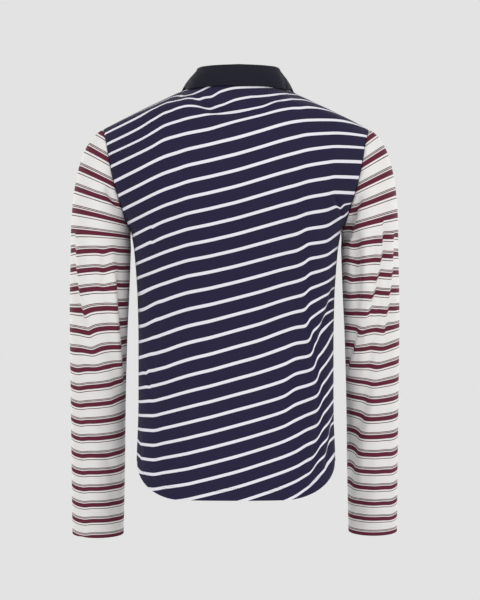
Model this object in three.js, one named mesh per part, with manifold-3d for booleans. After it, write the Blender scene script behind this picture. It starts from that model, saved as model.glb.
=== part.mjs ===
// Long-sleeved polo shirt in the hollow form it takes when worn: millimetres, +Z up.
// The front faces -Y and the wearer's left is +X. The origin lies between the shoulders, at
// the base of the neck, where the wearer holds the shirt up.
//
// Back, front, sleeves, collar and placket are walls of cloth through sections of a general
// figure. Neighbouring pieces share the points of their seam and stand back from it.

import * as THREE from 'three';
import { mergeVertices } from 'three/addons/utils/BufferGeometryUtils.js';
import Module from 'manifold-3d';

const wasm = await Module();
wasm.setup();

// Cloth and seams
const clothThickness = 1.6;
const ribThickness = 2.0;
const seamGap = 0.32;

// How finely the walls are divided
const bodyRows = 12;            // hem to armpit
const armholeRows = 10;         // armpit to shoulder
const neckColumns = 6;          // centre to the neck point, each side
const shoulderColumns = 7;      // neck point to the armhole, each side
const sleeveRings = 21;
const capRings = 7;             // of the sleeve's rings, those that shape its cap

// Body
const armpitZ = -235;
const armholeTopZ = -65;
const armholeMidY = -5;
const armholeBackReach = 52;
const armholeFrontReach = 55;
const armholeLean = 0.27;       // how far the armhole leans out as it rises
const bodySquareness = 2.3;     // 2 is an ellipse
const hemZ = -668;
const hemRise = 57;             // how much higher the shirt tail is at the side seams
const hemFlat = 89;             // half of its level stretch
const hemCorner = 75;           // width of its curve

const torsoSizes = [
  { z: -700, halfWidth: 166.5, back: 106, front: -113 },
  { z: -610, halfWidth: 164, back: 101, front: -110 },
  { z: -511, halfWidth: 161, back: 95, front: -106 },
  { z: -421, halfWidth: 161, back: 93, front: -106 },
  { z: -346, halfWidth: 162.5, back: 99, front: -111 },
  { z: -300, halfWidth: 165, back: 105, front: -115 },
  { z: -262, halfWidth: 168.5, back: 110, front: -118 },
  { z: -235, halfWidth: 173, back: 112, front: -119 },
];

// The armhole seam seen from behind and from the front
const armholeBackSizes = [
  { z: -235, x: 173 },
  { z: -222, x: 178.5 },
  { z: -198, x: 186 },
  { z: -157, x: 198.5 },
  { z: -115, x: 207.5 },
  { z: -91, x: 212 },
  { z: -65, x: 219 },
];
const armholeFrontSizes = [
  { z: -235, x: 173 },
  { z: -215, x: 178 },
  { z: -190, x: 183 },
  { z: -155, x: 189 },
  { z: -120, x: 197 },
  { z: -89, x: 208 },
  { z: -65, x: 219 },
];

// Rows from the armpit (rise 0) to the shoulder (rise 1): the middle of each row, how far
// round it reaches and how much it rises at the neck point
const backRise = [
  { rise: 0, z: -235, y: 112, turn: 90, neckRise: 0 },
  { rise: 0.25, z: -188, y: 114, turn: 69, neckRise: 0 },
  { rise: 0.5, z: -128, y: 109, turn: 61, neckRise: 0 },
  { rise: 0.75, z: -62, y: 94, turn: 53, neckRise: 2 },
  { rise: 0.9, z: -20, y: 75, turn: 48, neckRise: 7 },
  { rise: 1, z: 6, y: 58, turn: 45, neckRise: 11 },
];
const frontRise = [
  { rise: 0, z: -235, y: -119, turn: 90, neckRise: 0 },
  { rise: 0.25, z: -205, y: -119, turn: 69, neckRise: 4 },
  { rise: 0.5, z: -166, y: -117, turn: 61, neckRise: 18 },
  { rise: 0.75, z: -122, y: -107, turn: 53, neckRise: 44 },
  { rise: 0.9, z: -91, y: -93, turn: 48, neckRise: 58 },
  { rise: 1, z: -74, y: -78, turn: 45, neckRise: 66 },
];

// Neckline and shoulder
const neckHalfWidth = 73;
const neckPointY = -7;
const neckPointZ = 7;
const neckBackY = 58;
const neckBackZ = 6;
const neckFrontY = -78;
const neckFrontZ = -74;
const neckColumn = 0.36;        // the neck point's place across a row
const chestLean = 0.45;         // how far the cloth leans in as it rises to the neck point
const shoulderTip = new THREE.Vector3(219, armholeMidY, armholeTopZ);

// Sleeve: rings below the armpit, the tilt in degrees that the forward forearm gives them
const cuffZ = -739;
const sleeveSizes = [
  { z: -262, centreX: 222, halfWidth: 48.5, centreY: -4, halfDepth: 57, tilt: 0 },
  { z: -330, centreX: 224, halfWidth: 48, centreY: -6, halfDepth: 54, tilt: 2 },
  { z: -401, centreX: 226, halfWidth: 46.5, centreY: -11, halfDepth: 49, tilt: 6 },
  { z: -517, centreX: 228, halfWidth: 44.5, centreY: -31, halfDepth: 42, tilt: 11 },
  { z: -626, centreX: 229.5, halfWidth: 43.5, centreY: -54, halfDepth: 36, tilt: 12 },
  { z: -739, centreX: 231.5, halfWidth: 42, centreY: -78, halfDepth: 29, tilt: 12 },
];
const leftFullness = 1.2;       // the left sleeve hangs this much fuller, the right one less
const capTopZ = -262;
const capPull = 0.75;           // how far the cap runs on outwards before it turns down

// Collar: round from the back (0 degrees) to the front edge (180). The edge of the fall lies
// on the body at a place across a row and a rise, on the back up to 90 degrees.
const collarStations = 30;
const collarFoldRadius = 4;
const collarClearance = 1.4;
const collarEndX = 4;
const collarLean = 4;           // how far the fold leans to the wearer's right
const collarLeanAcross = 0.014; // and the edge of the fall
const collarSizes = [
  { angle: 0, foldX: 0, foldY: 53, foldZ: 37, edgeAcross: 0, edgeRise: 0.975 },
  { angle: 30, foldX: 33, foldY: 45, foldZ: 36.5, edgeAcross: 0.125, edgeRise: 0.974 },
  { angle: 60, foldX: 59, foldY: 25, foldZ: 36, edgeAcross: 0.285, edgeRise: 0.964 },
  { angle: 75, foldX: 65, foldY: 10, foldZ: 35, edgeAcross: 0.37, edgeRise: 0.972 },
  { angle: 90, foldX: 66.5, foldY: -7, foldZ: 33, edgeAcross: 0.432, edgeRise: 1 },
  { angle: 120, foldX: 58, foldY: -35, foldZ: 12, edgeAcross: 0.43, edgeRise: 0.94 },
  { angle: 150, foldX: 36, foldY: -61, foldZ: -18, edgeAcross: 0.34, edgeRise: 0.81 },
  { angle: 180, foldX: 5, foldY: -76, foldZ: -48, edgeAcross: 0.2, edgeRise: 0.69 },
];

// Placket and buttons
const placketHalfWidth = 16;
const placketTopZ = -78;
const placketEndZ = -228;
const placketRows = 9;
const underClearance = 1.5;
const placketLift = 1.8;        // how much the placket stands off the cloth at the neck seam
const slitWidth = 3;
const buttonRadius = 5.6;
const buttonThickness = 2.2;
const buttonHoleRadius = 0.8;
const buttonHoleReach = 1.5;
const buttonZ = [-94, -148, -202];

// The largest folds of the worn cloth, as seen from behind: from and to are x and z
const backFolds = [
  { from: [-122, -335], to: [-136, -640], width: 16, depth: -7 },
  { from: [-101, -350], to: [-112, -650], width: 15, depth: 5 },
  { from: [143, -375], to: [146, -575], width: 14, depth: -3 },
  { from: [-70, -8], to: [70, -4], width: 10, depth: -3 },
];
const sleeveFolds = [
  { side: 1, from: [262, -250], to: [186, -612], width: 14, depth: -5 },
  { side: 1, from: [199, -325], to: [188, -520], width: 12, depth: -4 },
  { side: -1, from: [241, -205], to: [187, -450], width: 14, depth: -5 },
  { side: -1, from: [265, -235], to: [198, -640], width: 14, depth: -5 },
];

const navy = { color: 0x2d2849, roughness: 0.88, metalness: 0 };
const cream = { color: 0xe4e5df, roughness: 0.9, metalness: 0 };
const rib = { color: 0x25232d, roughness: 0.92, metalness: 0 };
const buttonFinish = { color: 0x23222c, roughness: 0.35, metalness: 0 };

const degrees = Math.PI / 180;
const mix = (a, b, share) => a + (b - a) * share;
const smooth = (share) => share * share * (3 - 2 * share);
const between = (value, low, high) => Math.min(high, Math.max(low, value));

// A smooth curve through one column of a table, with no overshoot between its rows
function tableCurve(rows, key, column) {
  const x = rows.map((row) => row[key]);
  const y = rows.map((row) => row[column]);
  const last = rows.length - 1;
  const step = x.slice(0, last).map((value, i) => (y[i + 1] - y[i]) / (x[i + 1] - value));
  const slope = y.map((value, i) => {
    if (i === 0 || i === last) return step[Math.min(i, last - 1)];
    if (step[i - 1] * step[i] <= 0) return 0;
    return (2 * step[i - 1] * step[i]) / (step[i - 1] + step[i]);
  });
  return (value) => {
    const at = between(value, x[0], x[last]);
    let i = 0;
    while (i < last - 1 && at > x[i + 1]) i += 1;
    const span = x[i + 1] - x[i];
    const share = (at - x[i]) / span;
    const rest = 1 - share;
    return y[i] * rest * rest * (1 + 2 * share) + y[i + 1] * share * share * (3 - 2 * share)
      + slope[i] * span * share * rest * rest - slope[i + 1] * span * share * share * rest;
  };
}

const tableCurves = (rows, key) => Object.fromEntries(
  Object.keys(rows[0]).filter((column) => column !== key)
    .map((column) => [column, tableCurve(rows, key, column)]));

const torso = tableCurves(torsoSizes, 'z');
const armhole = {
  back: tableCurve(armholeBackSizes, 'z', 'x'),
  front: tableCurve(armholeFrontSizes, 'z', 'x'),
};
const rising = { back: tableCurves(backRise, 'rise'), front: tableCurves(frontRise, 'rise') };
const sleeve = tableCurves([...sleeveSizes].reverse(), 'z');
const collar = tableCurves(collarSizes, 'angle');

const roundSin = (angle) => Math.sign(angle) * Math.abs(Math.sin(angle)) ** (2 / bodySquareness);
const roundCos = (angle) => Math.max(0, Math.cos(angle)) ** (2 / bodySquareness);

function hemHeight(x) {
  const out = between((Math.abs(x) - hemFlat) / hemCorner, 0, 1);
  return hemZ + hemRise * (1 - Math.sqrt(1 - out * out));
}

// The neckline: 0 degrees at the back of the neck, 90 at the neck point, 180 in front
function neckline(angle) {
  const round = Math.cos(angle * degrees);
  const x = neckHalfWidth * Math.sin(angle * degrees);
  if (round >= 0) {
    return new THREE.Vector3(x, mix(neckPointY, neckBackY, round), mix(neckPointZ, neckBackZ, round ** 2));
  }
  return new THREE.Vector3(
    x, mix(neckPointY, neckFrontY, -round), mix(neckPointZ, neckFrontZ, (-round) ** 1.25));
}

// A point of the neckline and shoulder seam, across from the middle (0) to the tip (1)
function topEdge(side, across) {
  const reach = Math.abs(across);
  let point;
  if (reach <= neckColumn) {
    const turned = (reach / neckColumn) * 90;
    point = neckline(side === 'back' ? turned : 180 - turned);
  } else {
    const share = (reach - neckColumn) / (1 - neckColumn);
    point = neckline(90).lerp(shoulderTip, share);
  }
  point.x *= Math.sign(across);
  return point;
}

// A point of the body below the armpit, down is 0 at the armpit and 1 at the hem
function lowerPoint(side, across, down) {
  const angle = across * 90 * degrees;
  const guess = torso.halfWidth(mix(armpitZ, hemZ, down)) * roundSin(angle);
  const z = mix(armpitZ, hemHeight(guess), down);
  const reach = side === 'back' ? torso.back(z) : torso.front(z);
  return new THREE.Vector3(
    torso.halfWidth(z) * roundSin(angle), mix(armholeMidY, reach, roundCos(angle)), z);
}

// A point of a row between the armpit and the shoulder
function rowPoint(side, across, rise) {
  const row = rising[side];
  const turned = rise * 180 * degrees;
  const edgeZ = mix(armpitZ, armholeTopZ, (1 - Math.cos(turned)) / 2);
  const edgeReach = side === 'back' ? armholeBackReach : -armholeFrontReach;
  const edgeY = armholeMidY + edgeReach * Math.sin(turned);
  const full = row.turn(rise) * degrees;
  const angle = across * full;
  const level = (roundCos(angle) - roundCos(full)) / (1 - roundCos(full));
  const reach = Math.abs(across);
  const beside = reach < neckColumn ? reach / neckColumn : (1 - reach) / (1 - neckColumn);
  const raised = row.neckRise(rise) * smooth(beside);
  return new THREE.Vector3(
    armhole[side](edgeZ) * roundSin(angle) / roundSin(full),
    mix(edgeY, row.y(rise), level) - Math.sign(edgeReach) * chestLean * raised,
    mix(row.z(rise), edgeZ, reach ** 1.35) + raised);
}

// The upper body runs over the shoulder into the other panel, and stops at the neckline
function upperPoint(side, across, rise) {
  const lastRow = 0.88;
  if (rise <= lastRow) return rowPoint(side, across, rise);
  const below = rowPoint(side, across, lastRow);
  const beforeIt = rowPoint(side, across, lastRow - 0.04);
  const top = topEdge(side, across);
  const share = (rise - lastRow) / (1 - lastRow);
  const reach = Math.abs(across);
  const over = smooth(between((reach - neckColumn) / 0.12, 0, 1));
  const other = rowPoint(side === 'back' ? 'front' : 'back', across, lastRow);
  const leaving = below.clone().sub(beforeIt).multiplyScalar((1 - lastRow) / 0.04);
  const stopping = top.clone().sub(below);
  const rolling = other.sub(below).multiplyScalar(0.5);
  const arriving = stopping.lerp(rolling, over);
  const rest = 1 - share;
  return below.multiplyScalar(rest * rest * (1 + 2 * share))
    .addScaledVector(top, share * share * (3 - 2 * share))
    .addScaledVector(leaving, share * rest * rest)
    .addScaledVector(arriving, -share * share * rest);
}

// The armhole's rows, closer together where the cloth turns over the shoulder
const rises = Array.from({ length: armholeRows + 1 }, (row, i) => 1 - (1 - i / armholeRows) ** 1.35);

// The places across a row, so that one column runs up to each neck point
function columnPlaces() {
  const half = [];
  for (let i = 1; i <= neckColumns; i += 1) half.push((neckColumn * i) / neckColumns);
  for (let i = 1; i <= shoulderColumns; i += 1) half.push(mix(neckColumn, 1, i / shoulderColumns));
  return [...half.map((place) => -place).reverse(), 0, ...half];
}

function panelPoints(side) {
  const columns = columnPlaces();
  const rows = [];
  for (let i = 0; i < bodyRows; i += 1) {
    rows.push(columns.map((across) => lowerPoint(side, across, 1 - i / bodyRows)));
  }
  rises.forEach((rise) => rows.push(columns.map((across) => upperPoint(side, across, rise))));
  return rows;
}

// How far a point near a fold's line is pushed out, or in where the depth is below zero
function foldPush(fold, x, z) {
  const [fromX, fromZ] = fold.from;
  const along = new THREE.Vector2(fold.to[0] - fromX, fold.to[1] - fromZ);
  const place = new THREE.Vector2(x - fromX, z - fromZ);
  const share = between(place.dot(along) / along.lengthSq(), 0, 1);
  const off = place.addScaledVector(along, -share).length();
  const ends = smooth(Math.min(1, 5 * Math.min(share, 1 - share)));
  return fold.depth * ends * Math.exp(-((off / fold.width) ** 2));
}

// Unit normals of a grid of points: closed says that its columns go round
function gridNormals(rows, closed) {
  return rows.map((row, i) => row.map((point, j) => {
    const up = rows[Math.min(i + 1, rows.length - 1)][j].clone().sub(rows[Math.max(i - 1, 0)][j]);
    const next = closed ? row[(j + 1) % row.length] : row[Math.min(j + 1, row.length - 1)];
    const before = closed ? row[(j + row.length - 1) % row.length] : row[Math.max(j - 1, 0)];
    return next.clone().sub(before).cross(up).normalize();
  }));
}

// Moves an edge point back from its seam, square to the seam and to the shared normal
function standBack(point, inner, alongSeam, normal) {
  const away = inner.clone().sub(point);
  const square = normal.clone().cross(alongSeam).normalize();
  return square.multiplyScalar(Math.sign(square.dot(away)) * (seamGap / 2));
}

// A closed wall between a grid of outer points and one of inner points
function wallGeometry(outer, inner, closed) {
  const rows = outer.length;
  const columns = outer[0].length;
  const positions = [...outer.flat(), ...inner.flat()].flatMap((point) => point.toArray());
  const faces = [];
  const quad = (a, b, c, d) => faces.push(a, b, c, a, c, d);
  const at = (i, j) => i * columns + (j % columns);
  const within = (i, j) => rows * columns + at(i, j);
  const spans = closed ? columns : columns - 1;
  for (let j = 0; j < spans; j += 1) {
    for (let i = 0; i < rows - 1; i += 1) {
      quad(at(i, j), at(i, j + 1), at(i + 1, j + 1), at(i + 1, j));
      quad(within(i, j), within(i + 1, j), within(i + 1, j + 1), within(i, j + 1));
    }
    quad(at(0, j + 1), at(0, j), within(0, j), within(0, j + 1));
    quad(at(rows - 1, j), at(rows - 1, j + 1), within(rows - 1, j + 1), within(rows - 1, j));
  }
  for (let i = 0; !closed && i < rows - 1; i += 1) {
    quad(at(i, 0), at(i + 1, 0), within(i + 1, 0), within(i, 0));
    quad(at(i + 1, columns - 1), at(i, columns - 1), within(i, columns - 1), within(i + 1, columns - 1));
  }
  const geometry = new THREE.BufferGeometry();
  geometry.setAttribute('position', new THREE.Float32BufferAttribute(positions, 3));
  geometry.setIndex(faces);
  return geometry;
}

const offset = (rows, normals, distance) => rows.map(
  (row, i) => row.map((point, j) => point.clone().addScaledVector(normals[i][j], distance)));

// The armhole's own outward direction, shared by panel and sleeve: angle 0 is the armpit
function armholeNormal(angle, wearerSide) {
  const reach = Math.sin(angle) > 0 ? armholeBackReach : armholeFrontReach;
  const rise = -Math.cos(angle) / ((armholeTopZ - armpitZ) / 2);
  return new THREE.Vector3(wearerSide * armholeLean * rise, Math.sin(angle) / reach, rise).normalize();
}

// Front and back: outer points, the normals that they share at their seams, folds, gaps
function bodyPanels() {
  const points = { back: panelPoints('back'), front: panelPoints('front') };
  const normals = {
    back: gridNormals(points.back, false).map((row) => row.map((normal) => normal.negate())),
    front: gridNormals(points.front, false),
  };
  const lastColumn = points.back[0].length - 1;
  const top = points.back.length - 1;
  points.back.forEach((row, i) => row.forEach((point, j) => {
    if (point.distanceTo(points.front[i][j]) > 0.01) return;
    const shared = normals.back[i][j].add(normals.front[i][j]).normalize();
    normals.front[i][j] = shared.clone();
  }));
  for (let i = bodyRows; i <= top; i += 1) {
    const angle = rises[i - bodyRows] * Math.PI;
    for (const [j, wearerSide] of [[0, -1], [lastColumn, 1]]) {
      normals.back[i][j] = armholeNormal(angle, wearerSide);
      normals.front[i][j] = armholeNormal(-angle, wearerSide);
    }
  }
  return { points, normals, lastColumn, top };
}

const body = bodyPanels();

// Draws a panel back from its side, armhole and shoulder seams
function panelGaps(side) {
  const rows = body.points[side];
  const normals = body.normals[side];
  const moved = rows.map((row) => row.map((point) => point.clone()));
  rows.forEach((row, i) => {
    for (const [j, inward] of [[0, 1], [body.lastColumn, -1]]) {
      const along = rows[Math.min(i + 1, body.top)][j].clone().sub(rows[Math.max(i - 1, 0)][j]);
      moved[i][j].add(standBack(row[j], row[j + inward], along, normals[i][j]));
    }
  });
  rows[body.top].forEach((point, j) => {
    const beyondNeck = Math.abs(j - body.lastColumn / 2) >= neckColumns;
    if (!beyondNeck) return;
    const row = rows[body.top];
    const along = row[Math.min(j + 1, body.lastColumn)].clone().sub(row[Math.max(j - 1, 0)]);
    moved[body.top][j].add(standBack(point, rows[body.top - 1][j], along, normals[body.top][j]));
  });
  return moved;
}

function panelGeometry(side, folds) {
  const normals = body.normals[side];
  const columns = columnPlaces();
  const outer = panelGaps(side);
  outer.forEach((row, i) => row.forEach((point, j) => {
    const edge = smooth(between((1 - Math.abs(columns[j])) / 0.12, 0, 1));
    const belowTop = smooth(between((body.top - i) / 2, 0, 1));
    const push = folds.reduce((sum, fold) => sum + foldPush(fold, point.x, point.z), 0);
    point.addScaledVector(normals[i][j], push * edge * belowTop);
  }));
  const inner = offset(outer, normals, -clothThickness);
  if (side === 'front') return wallGeometry(outer, inner, false);
  const turn = (rows) => rows.map((row) => [...row].reverse());
  return wallGeometry(turn(outer), turn(inner), false);
}

// A ring of the sleeve below the armpit: it starts at the armpit and goes up the back
function sleeveRing(z, count, wearerSide) {
  const tilt = sleeve.tilt(z) * degrees;
  const ring = [];
  for (let k = 0; k < count; k += 1) {
    const angle = (k / count) * 2 * Math.PI;
    const fullness = wearerSide * leftFullness;
    const out = sleeve.centreX(z) + fullness - (sleeve.halfWidth(z) + fullness) * Math.cos(angle);
    const back = sleeve.halfDepth(z) * Math.sin(angle);
    ring.push(new THREE.Vector3(
      wearerSide * out, sleeve.centreY(z) + back * Math.cos(tilt), z - back * Math.sin(tilt)));
  }
  return ring;
}

function sleevePoints(wearerSide) {
  const edge = wearerSide > 0 ? body.lastColumn : 0;
  const seam = [];
  for (let i = bodyRows; i <= body.top; i += 1) seam.push(body.points.back[i][edge]);
  for (let i = body.top - 1; i > bodyRows; i -= 1) seam.push(body.points.front[i][edge]);
  const count = seam.length;
  const full = sleeveRing(capTopZ, count, wearerSide);
  const rings = [];
  for (let i = 0; i < capRings; i += 1) {
    const share = i / capRings;
    const rest = 1 - share;
    rings.push(seam.map((start, k) => {
      const high = (1 - Math.cos((k / count) * 2 * Math.PI)) / 2;
      const round = Math.sin((k / count) * 2 * Math.PI);
      const length = start.distanceTo(full[k]);
      const leaving = new THREE.Vector3(
        wearerSide * mix(0.35, 1, high), 0.25 * round, -mix(1, 0.45, high)).normalize();
      return start.clone().multiplyScalar(rest * rest * (1 + 2 * share))
        .addScaledVector(full[k], share * share * (3 - 2 * share))
        .addScaledVector(leaving, capPull * length * share * rest * rest)
        .add(new THREE.Vector3(0, 0, length * share * share * rest));
    }));
  }
  for (let i = capRings; i <= sleeveRings; i += 1) {
    const share = (i - capRings) / (sleeveRings - capRings);
    rings.push(sleeveRing(mix(capTopZ, cuffZ, share), count, wearerSide));
  }
  return rings;
}

function sleeveGeometry(wearerSide) {
  const rings = sleevePoints(wearerSide);
  const count = rings[0].length;
  const normals = gridNormals(rings, true);
  if (wearerSide < 0) normals.forEach((row) => row.forEach((normal) => normal.negate()));
  normals[0] = rings[0].map((point, k) => (k <= armholeRows
    ? armholeNormal(rises[k] * Math.PI, wearerSide)
    : armholeNormal(-rises[count - k] * Math.PI, wearerSide)));
  const outer = rings.map((ring) => ring.map((point) => point.clone()));
  rings[0].forEach((point, k) => {
    const along = rings[0][(k + 1) % count].clone().sub(rings[0][(k + count - 1) % count]);
    outer[0][k].add(standBack(point, rings[1][k], along, normals[0][k]));
  });
  const folds = sleeveFolds.filter((fold) => fold.side === wearerSide);
  outer.forEach((ring, i) => ring.forEach((point, k) => {
    if (i < 2 || k === 0 || k >= count / 2) return;
    const push = folds.reduce(
      (sum, fold) => sum + foldPush(fold, wearerSide * point.x, point.z), 0);
    point.addScaledVector(normals[i][k], push * Math.sin((k / count) * 2 * Math.PI));
  }));
  const inner = offset(outer, normals, -clothThickness);
  if (wearerSide > 0) return wallGeometry(outer, inner, true);
  const turn = (rows) => rows.map((row) => [...row].reverse());
  return wallGeometry(turn(outer), turn(inner), true);
}

// A point of the upper body and the direction out of the cloth there
function bodyPlace(side, across, rise) {
  const step = 0.004;
  const point = upperPoint(side, across, rise);
  const sideways = upperPoint(side, across + step, rise).sub(upperPoint(side, across - step, rise));
  const upwards = upperPoint(side, across, Math.min(rise + step, 1))
    .sub(upperPoint(side, across, rise - step));
  const normal = sideways.cross(upwards).normalize();
  return { point, normal: side === 'back' ? normal.negate() : normal };
}

// The collar's section at one place: up the stand, over the fold and down the fall
function collarSection(angle, wearerSide) {
  const seam = neckline(angle);
  const inFrom = new THREE.Vector3(seam.x, seam.y - neckPointY, 0).normalize();
  const foot = seam.clone().addScaledVector(inFrom, -clothThickness).add(new THREE.Vector3(0, 0, 0.6));
  foot.x = Math.max(foot.x, collarEndX * smooth(angle / 180));
  const leaning = wearerSide * Math.sin(angle * degrees);
  const fold = new THREE.Vector3(collar.foldX(angle), collar.foldY(angle), collar.foldZ(angle));
  fold.x -= wearerSide * collarLean * (angle < 150 ? 1 : (180 - angle) / 30);
  const across = collar.edgeAcross(angle) - leaning * collarLeanAcross;
  const lying = bodyPlace(angle <= 90 ? 'back' : 'front', across, collar.edgeRise(angle));
  const edge = lying.point.addScaledVector(lying.normal, ribThickness + collarClearance);
  const out = new THREE.Vector3(edge.x - foot.x, edge.y - foot.y, 0).normalize();
  const up = new THREE.Vector3(0, 0, 1);
  const arc = [0, 60, 120, 180].map((turned) => fold.clone()
    .addScaledVector(out, -collarFoldRadius * Math.cos(turned * degrees))
    .addScaledVector(up, collarFoldRadius * (Math.sin(turned * degrees) - 1)));
  const standMiddle = foot.clone().lerp(arc[0], 0.5);
  const fall = [0.35, 0.7].map((share) => arc[3].clone().lerp(edge, share)
    .addScaledVector(out, 6 * share * (1 - share))
    .addScaledVector(up, 4 * share * (1 - share)));
  const section = [foot, standMiddle, ...arc, ...fall, edge];
  section.forEach((point) => { point.x *= wearerSide; });
  return section;
}

function collarGeometry() {
  const rows = [];
  for (let i = -collarStations / 2; i <= collarStations / 2; i += 1) {
    const angle = Math.abs(i) * (360 / collarStations);
    rows.push(collarSection(angle, i < 0 ? -1 : 1));
  }
  const normals = gridNormals(rows, false);
  return wallGeometry(rows, offset(rows, normals, -ribThickness), false);
}

// The place on the front that has a given x and z, near its middle
function frontPlace(x, z) {
  let across = 0;
  let rise = 0.5;
  for (let i = 0; i < 40; i += 1) {
    const point = upperPoint('front', across, rise);
    across += (x - point.x) / 400;
    rise = between(rise + (z - point.z) / 250, 0.01, 1);
  }
  return bodyPlace('front', across, rise);
}

// How far the upper placket's face stands off the front, at a share of its height
const placketOff = (share) => seamGap + clothThickness + placketLift * share ** 6;

function placketGeometry(offAt) {
  const rows = [];
  const normals = [];
  for (let i = 0; i <= placketRows; i += 1) {
    const z = mix(placketEndZ, placketTopZ, i / placketRows);
    const places = [-1, -0.5, 0, 0.5, 1].map((side) => frontPlace(side * placketHalfWidth, z));
    const off = offAt(i / placketRows);
    rows.push(places.map((place) => place.point.addScaledVector(place.normal, off)));
    normals.push(places.map((place) => place.normal));
  }
  return wallGeometry(rows, offset(rows, normals, -clothThickness), false);
}

function buttonGeometry() {
  const outline = new THREE.Shape().absarc(0, 0, buttonRadius - 0.5, 0, 2 * Math.PI, false);
  for (let i = 0; i < 4; i += 1) {
    const angle = (i + 0.5) * 90 * degrees;
    const hole = new THREE.Path();
    hole.absarc(
      buttonHoleReach * Math.cos(angle), buttonHoleReach * Math.sin(angle),
      buttonHoleRadius + 0.25, 0, 2 * Math.PI, true);
    outline.holes.push(hole);
  }
  const settings = {
    depth: buttonThickness - 1, bevelThickness: 0.5, bevelSize: 0.25, bevelSegments: 1, curveSegments: 10,
  };
  const geometry = new THREE.ExtrudeGeometry(outline, settings);
  return geometry.translate(0, 0, 0.5);
}

// Joined and cut solids
function asSolid(geometry) {
  const bare = geometry.clone();
  bare.deleteAttribute('normal');
  bare.deleteAttribute('uv');
  const merged = mergeVertices(bare, 1e-4);
  return new wasm.Manifold(new wasm.Mesh({
    numProp: 3,
    vertProperties: new Float32Array(merged.attributes.position.array),
    triVerts: new Uint32Array(merged.index.array),
  }));
}

function asGeometry(solid) {
  const result = solid.getMesh();
  const geometry = new THREE.BufferGeometry();
  geometry.setAttribute('position', new THREE.BufferAttribute(result.vertProperties, 3));
  geometry.setIndex(new THREE.BufferAttribute(result.triVerts, 1));
  return geometry;
}

// The front is slit down its middle, and the slit is hidden behind the upper placket
function frontGeometry() {
  const slitEndZ = placketEndZ + 12;
  const height = 60 - slitEndZ;
  const slit = new THREE.BoxGeometry(slitWidth, 90, height);
  slit.translate(0, neckFrontY - 30, slitEndZ + height / 2);
  return asGeometry(asSolid(panelGeometry('front', [])).subtract(asSolid(slit)));
}

function piece(name, geometry, finish) {
  const mesh = new THREE.Mesh(geometry, new THREE.MeshStandardMaterial(finish));
  mesh.name = name;
  return mesh;
}

const shirt = new THREE.Group();
shirt.add(piece('back', panelGeometry('back', backFolds), navy));
shirt.add(piece('front', frontGeometry(), navy));
shirt.add(piece('left_sleeve', sleeveGeometry(1), cream));
shirt.add(piece('right_sleeve', sleeveGeometry(-1), cream));
shirt.add(piece('collar', collarGeometry(), rib));

shirt.add(piece('placket_upper', placketGeometry(placketOff), navy));
shirt.add(piece('placket_under', placketGeometry(() => -clothThickness - underClearance), navy));

buttonZ.forEach((z, i) => {
  const place = frontPlace(0, z);
  const button = piece(`button_${i + 1}`, buttonGeometry(), buttonFinish);
  const share = (z - placketEndZ) / (placketTopZ - placketEndZ);
  button.position.copy(place.point).addScaledVector(place.normal, placketOff(share) + seamGap);
  button.quaternion.setFromUnitVectors(new THREE.Vector3(0, 0, 1), place.normal);
  shirt.add(button);
});

export default shirt;
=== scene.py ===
import math

import bmesh
import bpy
import numpy as np
from mathutils import Matrix, Vector


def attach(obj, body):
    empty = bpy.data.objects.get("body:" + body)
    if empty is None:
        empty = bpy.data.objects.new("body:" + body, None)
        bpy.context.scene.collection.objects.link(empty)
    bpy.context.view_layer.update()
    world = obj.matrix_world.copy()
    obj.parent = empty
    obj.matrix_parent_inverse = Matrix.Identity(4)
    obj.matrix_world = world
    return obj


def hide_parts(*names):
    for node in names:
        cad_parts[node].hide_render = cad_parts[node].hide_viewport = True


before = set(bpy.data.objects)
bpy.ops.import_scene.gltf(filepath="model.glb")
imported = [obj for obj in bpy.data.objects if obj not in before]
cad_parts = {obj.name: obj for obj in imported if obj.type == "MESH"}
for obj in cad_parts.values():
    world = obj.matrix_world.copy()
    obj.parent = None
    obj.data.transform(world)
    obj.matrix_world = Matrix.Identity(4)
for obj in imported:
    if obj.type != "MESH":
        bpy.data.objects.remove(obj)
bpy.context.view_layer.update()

print("frame loaded")

# Metres, +Z up. The front faces -Y and the wearer's left is +X, as in the frame.

bpy.context.scene.view_settings.view_transform = "Standard"


def mix(a, b, share):
    return a + (b - a) * share


def smooth(share):
    held = np.clip(share, 0, 1)
    return held * held * (3 - 2 * held)


def ramp(value, start, reach):  # 0 up to the start, and 1 from the reach beyond it
    return smooth((value - start) / reach)


def bend(start, end, leaving, arriving, share):  # a cubic that leaves and arrives at two slopes
    rest = 1 - share
    return (start * rest * rest * (1 + 2 * share) + end * share * share * (3 - 2 * share)
            + leaving * share * rest * rest - arriving * share * share * rest)


def curveThrough(x, y):  # a smooth curve that never overshoots its points
    step = np.diff(y) / np.diff(x)
    product = step[:-1] * step[1:]
    same = product > 0
    total = np.where(same, step[:-1] + step[1:], 1)
    slope = np.concatenate([step[:1], np.where(same, 2 * product / total, 0), step[-1:]])

    def curve(value):
        at = np.clip(value, x[0], x[-1])
        i = np.clip(np.searchsorted(x, at, side="right") - 1, 0, len(x) - 2)
        span = x[i + 1] - x[i]
        return bend(y[i], y[i + 1], span * slope[i], span * slope[i + 1], (at - x[i]) / span)
    return curve


def curves(columns, *rows):  # a curve for each named column of a table, by its first column
    at, *values = np.array(rows, float).T
    return {name: curveThrough(at, column) for name, column in zip(columns.split()[1:], values)}


def point(x, y, z):
    return np.stack(np.broadcast_arrays(x, y, z), axis=-1)


def unit(vectors):
    return vectors / np.maximum(np.linalg.norm(vectors, axis=-1, keepdims=True), 1e-12)


def arcLength(points, axis):
    step = np.linalg.norm(np.diff(points, axis=axis), axis=-1)
    first = np.zeros_like(np.take(step, [0], axis=axis))
    return np.concatenate([first, np.cumsum(step, axis=axis)], axis=axis)


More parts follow.
